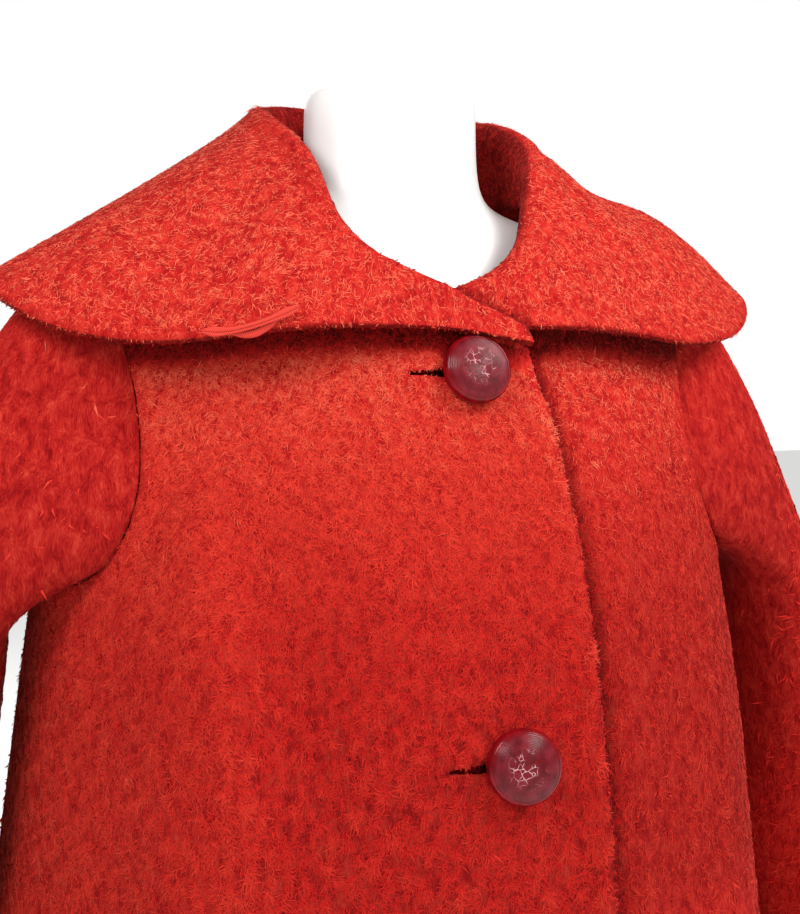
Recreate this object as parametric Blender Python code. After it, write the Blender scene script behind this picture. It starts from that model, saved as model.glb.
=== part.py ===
"""A short swing coat in napped coating, buttoned right over left, on a smooth limbless dress form.

Metres, +Z up. The coat faces -Y and the wearer's left is +X. The origin is on the floor, below the neck.
"""

import math

import bmesh
import bpy
import numpy as np
from mathutils import Matrix, Vector

# Cloth and seams
CLOTH = 0.003  # one layer of the coating with its nap
COLLAR_CLOTH = 0.005  # the collar's two layers
SEAM_GAP = 0.0004
COLLAR_SEAM_GAP = 0.0010  # between the necklines and the collar's stand
OVERLAP_GAP = 0.0006  # between the fronts, where the right one lies on the left one

# Heights above the floor, and half widths where the cut has its corners
HEM_HEIGHT = 0.060
UNDERARM_HEIGHT = 0.535
NECK_CORNER_HEIGHT = 0.662  # where a front's edge turns into its neckline
YOKE_HEIGHT = 0.660  # the back's rows run level up to here, and then turn to the shoulders
SHOULDER_TIP = (0.197, 0.724)
NECK_POINT = (0.085, 0.756)  # where the shoulder seam meets the collar

# The right front stands out where it covers the left front and, at the neck, the left collar's end
LIFT_ANGLES = (12.0, 40.0)  # whole up to the first, gone at the second, in degrees from the middle
LIFT_HEIGHTS = (0.610, 0.668)
COLLAR_LIFT = 0.0085

# Buttons and buttonholes
BUTTON_HEIGHTS = (0.6545, 0.460, 0.266)
BUTTON_PLACES = (0.0065, 0.004, 0.004)  # the buttons' distances from the middle
BUTTON_LEANS = (2.0, 10.0, 10.0)  # degrees, towards the buttonhole that pulls at the shank
BUTTON_RADIUS = 0.019
BUTTON_RIM = 0.0042  # the upright edge's height
BUTTON_DOME = 0.0072  # the dome's rise above the rim
BUTTON_CLEARANCE = 0.0008  # between a button's back and the cloth below it
SHANK_RADIUS = 0.0026
SHANK_GAP = 0.0010  # between a shank's flat end and the left front's sloping face
BUTTONHOLE_LENGTH = 0.037  # from the button's middle to the far end
BUTTONHOLE_HALF_WIDTHS = (0.0034, 0.0009)  # beside the shank, and at the far end
CUTTER_DEPTH = 0.010

# The loop of flat braid sewn along the right collar's edge
LOOP_WIDTH = 0.0044
LOOP_THICKNESS = 0.0016
LOOP_POINTS = 19
LOOP_STATIONS = (10.02, 7.87)  # of the collar's right half, where the loop starts and ends
LOOP_CLIMB = 0.82  # how far its end lies above the collar's edge, in steps of the fall

# How finely the sections are divided
FRONT_COLUMNS = 20
BACK_HALF_COLUMNS = 15
NECK_COLUMNS = 8  # of the back's half, under the collar
SKIRT_ROWS = 9
ARMHOLE_ROWS = (5, 8)  # below and above the front's neck corner
COLLAR_STATIONS = 22  # in each half
STAND_STEPS, ROLL_STEPS, FALL_STEPS = 2, 4, 7
FORM_SIDES = 28
BUTTON_SIDES = 24

RED = (0.56, 0.028, 0.016, 1.0)
BRAID_RED = (0.62, 0.035, 0.025, 1.0)
MAROON = (0.16, 0.008, 0.014, 1.0)
WHITE = (0.86, 0.86, 0.85, 1.0)


def table(columns, rows):
    """A short table as one array for each named column."""
    return {name: np.array(column, float) for name, column in zip(columns, zip(*rows))}


# Sections of the coat's outer face, with the depths in front of and behind the neck's axis
TORSO = table(
    ("height", "half_width", "front", "back"),
    (
        (0.060, 0.288, 0.212, 0.162),
        (0.270, 0.257, 0.197, 0.146),
        (0.400, 0.237, 0.182, 0.134),
        (0.465, 0.228, 0.171, 0.129),
        (0.535, 0.2175, 0.154, 0.124),
        (0.600, 0.211, 0.127, 0.119),
        (0.640, 0.208, 0.106, 0.114),
        (0.675, 0.206, 0.090, 0.107),
        (0.700, 0.204, 0.082, 0.102),
        (0.724, 0.197, 0.074, 0.094),
        (0.740, 0.143, 0.066, 0.086),
        (0.756, 0.085, 0.054, 0.077),
        (0.765, 0.055, 0.048, 0.073),
    ),
)

# Hanging folds: where the crest starts and where it meets the hem, in degrees from the front towards +X
FOLDS = table(
    ("start_height", "start_angle", "hem_angle", "half_width", "rise"),
    (
        (0.605, -47.0, -27.0, 8.0, 0.024),
        (0.560, 46.0, 30.0, 9.0, 0.020),
        (0.430, -66.0, -62.0, 9.0, -0.010),
        (0.420, 64.0, 60.0, 9.0, -0.009),
        (0.520, -128.0, -122.0, 10.0, 0.020),
        (0.480, 132.0, 126.0, 10.0, 0.018),
        (0.560, -158.0, -160.0, 9.0, -0.012),
        (0.540, 163.0, 158.0, 9.0, -0.010),
        (0.500, 183.0, 181.0, 10.0, 0.016),
    ),
)

# A front's edge past the middle, its neckline and the armholes, as the front view shows them
FRONT_EDGE = table(
    ("height", "past_middle"),
    ((0.060, 0.053), (0.465, 0.051), (0.600, 0.049), (0.640, 0.046), (0.662, 0.040)),
)
NECKLINE = table(
    ("across", "height"),
    (
        (-0.040, 0.662),
        (0.000, 0.674),
        (0.030, 0.687),
        (0.058, 0.708),
        (0.076, 0.733),
        (0.085, 0.756),
    ),
)
BACK_NECKLINE = table(
    ("across", "height"),
    ((0.000, 0.757), (0.040, 0.757), (0.070, 0.7565), (0.085, 0.756)),
)
ARMHOLE_FRONT = table(
    ("across", "height"),
    (
        (0.2175, 0.535),
        (0.190, 0.548),
        (0.172, 0.575),
        (0.165, 0.610),
        (0.166, 0.645),
        (0.173, 0.682),
        (0.185, 0.709),
        (0.197, 0.724),
    ),
)
ARMHOLE_BACK = table(
    ("across", "height"),
    (
        (0.2175, 0.535),
        (0.196, 0.550),
        (0.181, 0.580),
        (0.175, 0.615),
        (0.176, 0.650),
        (0.181, 0.686),
        (0.189, 0.711),
        (0.197, 0.724),
    ),
)

# Sections of the left sleeve below its cap, square to the arm
SLEEVE = table(
    ("centre_x", "centre_y", "centre_z", "half_across", "half_deep", "tilt"),
    (
        (0.262, 0.000, 0.520, 0.0355, 0.070, 22.0),
        (0.277, -0.004, 0.430, 0.0375, 0.066, 17.0),
        (0.293, -0.008, 0.340, 0.0395, 0.062, 15.0),
        (0.309, -0.014, 0.250, 0.0410, 0.058, 14.0),
        (0.324, -0.020, 0.170, 0.0420, 0.055, 14.0),
    ),
)
SLEEVE_ROWS = 9  # below the cap
CAP_ROWS = 5
CAP_BULGE = 0.016  # the sleeve head's roundness over the shoulder's end
UNDERARM_EASE = 0.007  # how far the sleeve stands off the side, just below the underarm
CREASES = table(  # across the inside of the elbow: place down the sleeve, half length, depth
    ("down", "half_length", "depth"),
    ((0.34, 0.05, 0.004), (0.47, 0.05, 0.006), (0.60, 0.05, 0.004)),
)

# Stations of the collar's half from the front end to the middle of the back. The seam is where the stand is
# sewn to the neckline, the roll is the fold's crest and the edge is the fall's free edge
COLLAR = table(
    ("seam_x", "roll_x", "left_roll_x", "roll_y", "roll_z", "edge_x", "edge_y", "edge_z", "radius", "bulge"),
    (
        (-0.036, -0.036, -0.036, -0.0985, 0.6790, -0.038, -0.1060, 0.6690, 0.0034, 0.000),
        (0.000, 0.000, 0.000, -0.0910, 0.6965, 0.000, -0.0990, 0.6765, 0.0042, 0.000),
        (0.028, 0.030, 0.028, -0.0900, 0.7085, 0.031, -0.1020, 0.6780, 0.0045, 0.001),
        (0.052, 0.056, 0.047, -0.0845, 0.7240, 0.066, -0.1060, 0.6780, 0.0055, 0.003),
        (0.070, 0.067, 0.063, -0.0660, 0.7490, 0.112, -0.0990, 0.6750, 0.0060, 0.006),
        (0.079, 0.068, 0.076, -0.0400, 0.7780, 0.160, -0.0880, 0.6690, 0.0060, 0.010),
        (0.0835, 0.0725, 0.084, -0.0120, 0.7950, 0.212, -0.0620, 0.6780, 0.0060, 0.013),
        (0.085, 0.077, 0.083, 0.0160, 0.8080, 0.244, -0.0050, 0.7060, 0.0060, -0.002),
        (0.070, 0.072, 0.074, 0.0480, 0.8170, 0.222, 0.0760, 0.6920, 0.0060, 0.000),
        (0.040, 0.045, 0.045, 0.0750, 0.8220, 0.135, 0.1330, 0.6680, 0.0060, 0.008),
        (0.000, 0.000, 0.000, 0.0850, 0.8230, 0.000, 0.1500, 0.6580, 0.0060, 0.008),
    ),
)
COLLAR_FRONT_SEAMS = 7  # the stations up to this one are sewn to a front's neckline, the rest to the back's
LEFT_SHOULDER_STATIONS = (4.5, 6.5, 9.0)  # where the left half's fall has its own shape: from, most, to
LEFT_FALL = table(  # that shape: place down the fall, and the rise above a straight fall
    ("down", "rise"),
    ((0.00, 0.000), (0.14, 0.003), (0.29, -0.004), (0.43, 0.004), (0.57, 0.013), (0.75, 0.012), (1.00, 0.000)),
)
LEFT_COLLAR_START = 1.1  # the left half's end, just past the middle, in stations

# Sections of the dress form, with the depths in front of and behind the neck's axis
FORM = table(
    ("height", "half_width", "front", "back"),
    (
        (0.000, 0.150, 0.102, 0.094),
        (0.100, 0.166, 0.116, 0.108),
        (0.200, 0.168, 0.114, 0.114),
        (0.330, 0.136, 0.096, 0.086),
        (0.430, 0.144, 0.110, 0.090),
        (0.520, 0.150, 0.118, 0.098),
        (0.600, 0.150, 0.102, 0.100),
        (0.660, 0.156, 0.080, 0.094),
        (0.700, 0.178, 0.068, 0.084),
        (0.717, 0.186, 0.062, 0.076),
        (0.733, 0.135, 0.055, 0.068),
        (0.745, 0.082, 0.046, 0.062),
        (0.754, 0.0600, 0.042, 0.062),
        (0.768, 0.0540, 0.041, 0.065),
        (0.795, 0.0530, 0.0405, 0.0670),
        (0.813, 0.0530, 0.0405, 0.0670),
        (0.819, 0.0510, 0.0385, 0.0650),
        (0.821, 0.0470, 0.0345, 0.0610),
    ),
)


def through(places, values, at):
    """The value at a place on a smooth curve through the rows that never overshoots them."""
    at = np.asarray(at, float)
    steps = np.diff(places)
    slopes = np.diff(values) / steps
    same_way = slopes[:-1] * slopes[1:] > 0
    total = np.where(same_way, slopes[:-1] + slopes[1:], 1.0)
    inner = np.where(same_way, 2 * slopes[:-1] * slopes[1:] / total, 0.0)
    tangents = np.concatenate([slopes[:1], inner, slopes[-1:]])
    k = np.clip(np.searchsorted(places, at, side="right") - 1, 0, len(steps) - 1)
    t = (at - places[k]) / steps[k]
    rise = t * t * (3 - 2 * t)
    start = t * (1 - t) ** 2 * steps[k] * tangents[k]
    end = t * t * (t - 1) * steps[k] * tangents[k + 1]
    return values[k] * (1 - rise) + values[k + 1] * rise + start + end


def eased(t):
    """0 before 0, 1 after 1, and smooth between."""
    t = np.clip(t, 0.0, 1.0)
    return t * t * (3 - 2 * t)


def unit(vectors):
    return vectors / np.linalg.norm(vectors, axis=-1, keepdims=True)


def lengths_along(points):
    """How far along the line of points each one is."""
    return np.concatenate([[0.0], np.cumsum(np.linalg.norm(np.diff(points, axis=0), axis=-1))])


def ring_point(sections, angle, height):
    """A point on an oval section. Angle 0 is the front, and +90 degrees the wearer's left."""
    across, ahead = np.sin(angle), np.cos(angle)
    half_width = through(sections["height"], sections["half_width"], height)
    front = through(sections["height"], sections["front"], height)
    back = through(sections["height"], sections["back"], height)
    depth = np.where(ahead > 0, front, back)
    point = np.stack([half_width * across, -depth * ahead, height], -1)
    outward = np.stack([across / half_width, -ahead / depth, np.zeros_like(height)], -1)
    return point, unit(outward)


def fold_rise(angle, height):
    """How far the hanging folds move the coat's face outwards."""
    degrees = np.degrees(angle)
    rise = np.zeros_like(degrees)
    for start, first, last, half_width, most in zip(*FOLDS.values()):
        down = np.clip((start - height) / (start - HEM_HEIGHT), 0.0, 1.0)
        away = (degrees - first - (last - first) * down + 180.0) % 360.0 - 180.0
        rise = rise + most * down**0.65 * np.exp(-((away / half_width) ** 2))
    return rise


def flat_lift(angle, height):
    return np.zeros_like(angle)


def overlap_lift(angle, height):
    """How far the right front stands out from the left one's face."""
    whole, gone = LIFT_ANGLES
    low, high = LIFT_HEIGHTS
    near_middle = eased((gone + np.degrees(angle)) / (gone - whole))
    near_neck = eased((height - low) / (high - low))
    return near_middle * (CLOTH + OVERLAP_GAP + COLLAR_LIFT * near_neck)


def coat_point(angle, height, lift=flat_lift):
    """A point on the coat's outer face."""
    angle, height = np.broadcast_arrays(np.asarray(angle, float), np.asarray(height, float))
    point, outward = ring_point(TORSO, angle, height)
    return point + outward * (fold_rise(angle, height) + lift(angle, height))[..., None]


def coat_normal(angle, height, lift=flat_lift):
    """The direction straight out of the coat's face."""
    turn, climb = math.radians(0.4), 0.0008
    round_it = coat_point(angle + turn, height, lift) - coat_point(angle - turn, height, lift)
    up_it = coat_point(angle, height + climb, lift) - coat_point(angle, height - climb, lift)
    return unit(np.cross(round_it, up_it))


def angle_at(across, height):
    """The angle on the front where the coat's face is this far from the middle."""
    half_width = through(TORSO["height"], TORSO["half_width"], height)
    return np.arcsin(np.clip(across / half_width, -1.0, 1.0))


def seam_angle(height):
    """Half a seam's gap, as an angle at the side or on the shoulder."""
    return SEAM_GAP / 2 / through(TORSO["height"], TORSO["front"], height)


def spaced(line, count):
    """Angles and heights at places evenly spaced on the coat's front, along a line of across and height."""
    corners = np.stack([line["across"], line["height"]], -1)
    along = lengths_along(corners)
    fine = np.linspace(0.0, along[-1], 600)
    height = through(along, line["height"], fine)
    angle = angle_at(through(along, line["across"], fine), height)
    length = lengths_along(coat_point(angle, height))
    even = np.linspace(0.0, length[-1], count)
    return np.interp(even, length, angle), np.interp(even, length, height)


def material(name, colour, roughness):
    made = bpy.data.materials.new(name)
    made.use_nodes = True
    shader = made.node_tree.nodes["Principled BSDF"]
    shader.inputs["Base Color"].default_value = colour
    shader.inputs["Roughness"].default_value = roughness
    shader.inputs["Metallic"].default_value = 0.0
    return made


def add_object(name, mesh, finish, parent):
    """A named object with its material, smooth but for its sharp edges."""
    mesh.materials.append(finish)
    mesh.shade_smooth()
    mesh.set_sharp_from_angle(angle=math.radians(40))
    obj = bpy.data.objects.new(name, mesh)
    bpy.context.scene.collection.objects.link(obj)
    obj.parent = parent
    return obj


def mesh_from(name, bm):
    """The bmesh as a mesh whose faces point out."""
    bmesh.ops.recalc_face_normals(bm, faces=bm.faces)
    mesh = bpy.data.meshes.new(name)
    bm.to_mesh(mesh)
    bm.free()
    return mesh


def wall_mesh(name, outer, inner, tube=False):
    """A wall between two grids of points. A tube's rows are closed rings."""
    bm = bmesh.new()
    rows, columns = outer.shape[:2]
    faces_of = [[[bm.verts.new(p) for p in row] for row in grid] for grid in (outer, inner)]
    across = columns if tube else columns - 1
    for verts in faces_of:
        for i in range(rows - 1):
            for j in range(across):
                k = (j + 1) % columns
                bm.faces.new((verts[i][j], verts[i][k], verts[i + 1][k], verts[i + 1][j]))
    out, back = faces_of
    for i in (0, rows - 1):
        for j in range(across):
            k = (j + 1) % columns
            bm.faces.new((out[i][j], out[i][k], back[i][k], back[i][j]))
    if not tube:
        for j in (0, columns - 1):
            for i in range(rows - 1):
                bm.faces.new((out[i][j], out[i + 1][j], back[i + 1][j], back[i][j]))
    return mesh_from(name, bm)


def solid_of_rings(name, rings):
    """A solid through closed rings of points, with flat ends."""
    bm = bmesh.new()
    loops = [[bm.verts.new(p) for p in ring] for ring in rings]
    for low, high in zip(loops, loops[1:]):
        for j in range(len(low)):
            k = (j + 1) % len(low)
            bm.faces.new((low[j], low[k], high[k], high[j]))
    bm.faces.new(loops[0])
    bm.faces.new(loops[-1])
    return mesh_from(name, bm)


def panel(name, angle, height, lift, finish, parent):
    """A cut panel of the coat's face, one layer of cloth thick."""
    outer = coat_point(angle, height, lift)
    inner = outer - CLOTH * coat_normal(angle, height, lift)
    return add_object(name, wall_mesh(name, outer, inner), finish, parent)


def side_line(count):
    """Heights up the side seam, from the hem to the underarm."""
    return np.linspace(HEM_HEIGHT, UNDERARM_HEIGHT, count)


def front_grid():
    """Angles and heights of a front, from its edge to its side, for the wearer's left."""
    below, above = ARMHOLE_ROWS
    side = side_line(SKIRT_ROWS + 1)
    edge = np.concatenate([side[:-1], np.linspace(UNDERARM_HEIGHT, NECK_CORNER_HEIGHT, below + 1)])
    past_middle = through(FRONT_EDGE["height"], FRONT_EDGE["past_middle"], edge)
    neck_angle, neck_height = spaced(NECKLINE, above + 1)
    arm_angle, arm_height = spaced(ARMHOLE_FRONT, below + above + 1)
    near_angle = np.concatenate([angle_at(-past_middle, edge), neck_angle[1:]])
    near_height = np.concatenate([edge, neck_height[1:]])
    far_angle = np.concatenate([np.full(SKIRT_ROWS, math.pi / 2), arm_angle])
    far_height = np.concatenate([side[:-1], arm_height])
    t = np.linspace(0.0, 1.0, FRONT_COLUMNS + 1)[None, :]
    angle = near_angle[:, None] * (1 - t) + far_angle[:, None] * t
    height = near_height[:, None] * (1 - t) + far_height[:, None] * t
    return np.minimum(angle, math.pi / 2 - seam_angle(height)), height


def back_armhole():
    """Angles and heights up the back armhole, from the underarm to the shoulder's end."""
    angle, height = spaced(ARMHOLE_BACK, sum(ARMHOLE_ROWS) + 1)
    return math.pi - angle, height


def back_grid():
    """Angles and heights of the back's left half, from its middle to its side."""
    below, above = ARMHOLE_ROWS
    side = side_line(SKIRT_ROWS + 1)
    arm_angle, arm_height = back_armhole()
    middle = np.concatenate([side[:-1], np.linspace(UNDERARM_HEIGHT, YOKE_HEIGHT, below + 1)])
    far_angle = np.concatenate([np.full(SKIRT_ROWS, math.pi / 2), arm_angle[: below + 1]])
    far_height = np.concatenate([side[:-1], arm_height[: below + 1]])
    t = np.linspace(0.0, 1.0, BACK_HALF_COLUMNS + 1)
    angle = math.pi * (1 - t) + far_angle[:, None] * t
    height = middle[:, None] * (1 - t) + far_height[:, None] * t
    neck_angle, neck_height = spaced(BACK_NECKLINE, NECK_COLUMNS + 1)
    shoulder = np.linspace(NECK_POINT[1], SHOULDER_TIP[1], BACK_HALF_COLUMNS - NECK_COLUMNS + 1)
    top_angle = np.concatenate([math.pi - neck_angle, np.full(len(shoulder) - 1, math.pi / 2)])
    top_height = np.concatenate([neck_height, shoulder[1:]])
    yoke_angle, yoke_height = angle[-1], height[-1]
    for row in range(below + 1, below + above + 1):
        turned = (arm_angle[row] - arm_angle[below]) / (arm_angle[-1] - arm_angle[below])
        risen = (arm_height[row] - arm_height[below]) / (arm_height[-1] - arm_height[below])
        angle = np.vstack([angle, yoke_angle + (top_angle - yoke_angle) * turned])
        height = np.vstack([height, yoke_height + (top_height - yoke_height) * risen])
    return np.maximum(angle, math.pi / 2 + seam_angle(height)), height


def make_fronts(finish, parent):
    angle, height = front_grid()
    left = panel("front_left", angle, height, flat_lift, finish, parent)
    right = panel("front_right", -angle, height, overlap_lift, finish, parent)
    return left, right


def make_back(finish, parent):
    angle, height = back_grid()
    whole_angle = np.hstack([2 * math.pi - angle[:, :0:-1], angle])
    whole_height = np.hstack([height[:, :0:-1], height])
    return panel("back", whole_angle, whole_height, flat_lift, finish, parent)


def armhole_loop(side):
    """The armhole's outer edge, from the shoulder's end down the front and up the back.

    With it come the ways out of the panels.
    """
    front_angle, front_height = spaced(ARMHOLE_FRONT, sum(ARMHOLE_ROWS) + 1)
    back_angle, back_height = back_armhole()
    angle = side * np.concatenate([front_angle[::-1], back_angle[1:-1]])
    height = np.concatenate([front_height[::-1], back_height[1:-1]])
    points, normals = coat_point(angle, height), coat_normal(angle, height)
    along = np.roll(points, -1, axis=0) - np.roll(points, 1, axis=0)
    return points, unit(side * np.cross(normals, along))


def sleeve_ring(side, down, turn):
    """A ring of the sleeve below its cap. Down runs from 0 at the cap to 1 at the cuff."""
    rows = np.linspace(0.0, 1.0, len(SLEEVE["tilt"]))
    at = {name: through(rows, column, down) for name, column in SLEEVE.items()}
    tilt = math.radians(at["tilt"])
    inside_elbow = np.clip(-np.cos(turn - math.radians(120)), 0.0, 1.0)
    crease = sum(
        depth * np.exp(-(((down - place) / (half_length / 2)) ** 2)) * (1 - inside_elbow)
        for place, half_length, depth in zip(*CREASES.values())
    )
    across = (at["half_across"] - crease * 0.5) * np.cos(turn)
    deep = (at["half_deep"] - crease) * np.sin(turn)
    x = at["centre_x"] + across * math.cos(tilt)
    z = at["centre_z"] + across * math.sin(tilt)
    return np.stack([side * x, at["centre_y"] - deep, z], -1)


def make_sleeve(name, side, finish, parent):
    seam, way_out = armhole_loop(side)
    turn = np.linspace(0.0, 2 * math.pi, len(seam), endpoint=False)
    start = seam + way_out * SEAM_GAP
    first = sleeve_ring(side, 0.0, turn)
    ease = np.where(np.cos(turn) > 0, CAP_BULGE, -UNDERARM_EASE)[:, None] * np.cos(turn)[:, None]
    bulge_way = np.array([side * 0.8, 0.0, 0.6])
    rings = []
    for step in range(CAP_ROWS):
        t = step / CAP_ROWS
        rings.append(start * (1 - t) + first * t + ease * math.sin(math.pi * t) * bulge_way)
    for step in range(SLEEVE_ROWS + 1):
        rings.append(sleeve_ring(side, step / SLEEVE_ROWS, turn))
    outer = np.array(rings)
    round_it = np.roll(outer, -1, axis=1) - np.roll(outer, 1, axis=1)
    down_it = np.gradient(outer, axis=0)
    inward = unit(side * np.cross(down_it, round_it))
    towards_panel = np.minimum(np.sum(inward[0] * way_out, -1, keepdims=True), 0.0)
    inward[0] = unit(inward[0] - towards_panel * way_out)
    return add_object(name, wall_mesh(name, outer, outer + CLOTH * inward, tube=True), finish, parent)


def neckline_seat(side, seam_x, on_front, lift):
    """The middle of the neckline's cut edge at a distance from the coat's middle, and the way out there."""
    line = NECKLINE if on_front else BACK_NECKLINE
    ends, centres, normals = [], [], []
    for x in (seam_x, seam_x - 0.002, seam_x + 0.002):
        x = np.clip(x, line["across"][0], line["across"][-1])
        height = through(line["across"], line["height"], x)
        angle = angle_at(x, height)
        angle = side * (angle if on_front else math.pi - angle)
        ends.append(coat_point(angle, height, lift))
        normals.append(coat_normal(angle, height, lift))
        centres.append(ends[-1] - CLOTH / 2 * normals[-1])
    way_out = unit(np.cross(normals[0], ends[2] - ends[1]))
    if way_out[2] < 0:
        way_out = -way_out
    return centres[0], way_out


def collar_section(side, station, lift):
    """The middle line of the collar's wall at a station: up the stand, over the roll and down the fall."""
    rows = np.arange(len(COLLAR["radius"]), dtype=float)
    at = {name: float(through(rows, column, station)) for name, column in COLLAR.items()}
    on_front = station <= COLLAR_FRONT_SEAMS
    seat, way_out = neckline_seat(side, at["seam_x"], on_front, lift)
    forward = np.zeros(3)
    if on_front:
        height = through(NECKLINE["across"], NECKLINE["height"], at["seam_x"])
        forward[1] = -lift(np.array(side * angle_at(at["seam_x"], height)), height)
    roll_x = at["left_roll_x"] if side > 0 else -at["roll_x"]
    roll = np.array([roll_x, at["roll_y"], at["roll_z"]]) + forward
    edge = np.array([side * at["edge_x"], at["edge_y"], at["edge_z"]]) + forward
    outward = unit((edge - roll) * np.array([1.0, 1.0, 0.0]))
    up = np.array([0.0, 0.0, 1.0])
    radius = at["radius"]
    centre = roll - up * radius
    arc = np.linspace(math.pi, 0.0, ROLL_STEPS + 1)
    over = [centre + radius * (math.cos(a) * outward + math.sin(a) * up) for a in arc]
    lean = np.linalg.norm(np.cross(unit(over[0] - seat), way_out))
    seam = seat + way_out * (COLLAR_SEAM_GAP + COLLAR_CLOTH / 2 * lean)
    stand = [seam + (over[0] - seam) * k / STAND_STEPS for k in range(STAND_STEPS)]
    start, most, end = LEFT_SHOULDER_STATIONS
    own_shape = eased((station - start) / (most - start)) * eased((end - station) / (end - most)) * (side > 0)
    fall = []
    for k in range(1, FALL_STEPS + 1):
        t = k / FALL_STEPS
        left_rise = through(LEFT_FALL["down"], LEFT_FALL["rise"], t)
        rise = at["bulge"] * 4 * t * (1 - t) * (1 - own_shape) + left_rise * own_shape
        fall.append(over[-1] + (edge - over[-1]) * t + up * rise)
    return np.array(stand + over + fall)


def collar_faces():
    """The collar's middle grid and its normals, from the right front end round the back to the left end."""
    last = len(COLLAR["radius"]) - 1
    right = [collar_section(-1, s, overlap_lift) for s in np.linspace(0, last, COLLAR_STATIONS + 1)]
    left_stations = np.linspace(last, LEFT_COLLAR_START, COLLAR_STATIONS + 1)[1:]
    left = [collar_section(1, s, flat_lift) for s in left_stations]
    middle = np.array(right + left)
    along, across = np.gradient(middle, axis=0), np.gradient(middle, axis=1)
    return middle, unit(np.cross(along, across))


def make_collar(finish, parent):
    middle, normals = collar_faces()
    outer = middle + COLLAR_CLOTH / 2 * normals
    inner = middle - COLLAR_CLOTH / 2 * normals
    return add_object("collar", wall_mesh("collar", outer, inner), finish, parent)


def make_loop(finish, parent):
    """A flat braid that lies along the right collar's edge, with one twist in its middle."""
    middle, normals = collar_faces()
    t = np.linspace(0.0, 1.0, LOOP_POINTS)
    station = LOOP_STATIONS[0] + (LOOP_STATIONS[1] - LOOP_STATIONS[0]) * t
    section = STAND_STEPS + ROLL_STEPS + FALL_STEPS - 0.10 - LOOP_CLIMB * t**2 + 0.25 * np.sin(math.pi * t)
    k = np.minimum(station.astype(int), COLLAR_STATIONS - 1)
    q = np.minimum(section.astype(int), middle.shape[1] - 2)
    a, b = (station - k)[:, None], (section - q)[:, None]

    def on(grid):
        low = grid[k, q] * (1 - a) + grid[k + 1, q] * a
        high = grid[k, q + 1] * (1 - a) + grid[k + 1, q + 1] * a
        return low * (1 - b) + high * b

    normal = unit(on(normals))
    if np.mean(normal[:, 1]) > 0:
        normal = -normal
    clear = COLLAR_CLOTH / 2 + SEAM_GAP + LOOP_WIDTH / 2 + 0.0004
    path = on(middle) + normal * clear
    tangent = unit(np.gradient(path, axis=0))
    beside = unit(np.cross(tangent, normal))
    out = np.cross(beside, tangent)
    twist = math.pi * eased((t - 0.30) / 0.42)
    corner = np.linspace(0.0, 2 * math.pi, 10, endpoint=False)
    rings = []
    for p, side, away, turn in zip(path, beside, out, twist):
        flat = math.cos(turn) * side + math.sin(turn) * away
        thick = -math.sin(turn) * side + math.cos(turn) * away
        wide, deep = LOOP_WIDTH / 2 * flat, LOOP_THICKNESS / 2 * thick
        rings.append([p + math.cos(c) * wide + math.sin(c) * deep for c in corner])
    return add_object("collar_loop", solid_of_rings("collar_loop", rings), finish, parent)


def button_place(height, across):
    """The frame of a button on the right front: its origin on the cloth's face, its Z straight out."""
    angle = angle_at(across, height)
    face = coat_point(angle, height, overlap_lift)
    normal = Vector(coat_normal(angle, height, overlap_lift))
    turn = normal.to_track_quat("Z", "Y")
    return Matrix.Translation(Vector(face)) @ turn.to_matrix().to_4x4()


def depth_to_left_front(place):
    """How far the left front's face lies behind a button's place, along the button's axis."""
    depth = 0.0
    for _ in range(12):
        at = place @ Vector((0.0, 0.0, -depth))
        depth += coat_point(angle_at(at.x, at.z), at.z)[1] - at.y
    return depth


def make_button(name, place, lean, finish, parent):
    """A turned button: a low upright rim, a dome, and a shank that goes through the buttonhole."""
    base = BUTTON_CLEARANCE + BUTTON_RADIUS * math.sin(lean)
    place = place @ Matrix.Rotation(-lean, 4, "Y")
    shank = SHANK_GAP - depth_to_left_front(place)
    profile = [(0.0, shank), (SHANK_RADIUS, shank), (SHANK_RADIUS, base)]
    profile += [(BUTTON_RADIUS * 0.90, base), (BUTTON_RADIUS, base + 0.0014)]
    profile.append((BUTTON_RADIUS, base + BUTTON_RIM))
    for k in range(1, 6):
        a = k * math.pi / 2 / 5
        profile.append((BUTTON_RADIUS * math.cos(a), base + BUTTON_RIM + BUTTON_DOME * math.sin(a)))
    profile[-1] = (0.0, profile[-1][1])
    bm = bmesh.new()
    verts = [bm.verts.new((r, 0.0, z)) for r, z in profile]
    edges = [bm.edges.new(pair) for pair in zip(verts, verts[1:])]
    bmesh.ops.spin(
        bm,
        geom=verts + edges,
        axis=(0, 0, 1),
        cent=(0, 0, 0),
        angle=2 * math.pi,
        steps=BUTTON_SIDES,
        use_merge=True,
    )
    bmesh.ops.remove_doubles(bm, verts=bm.verts, dist=1e-6)
    button = add_object(name, mesh_from(name, bm), finish, parent)
    button.matrix_local = place
    return button


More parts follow.
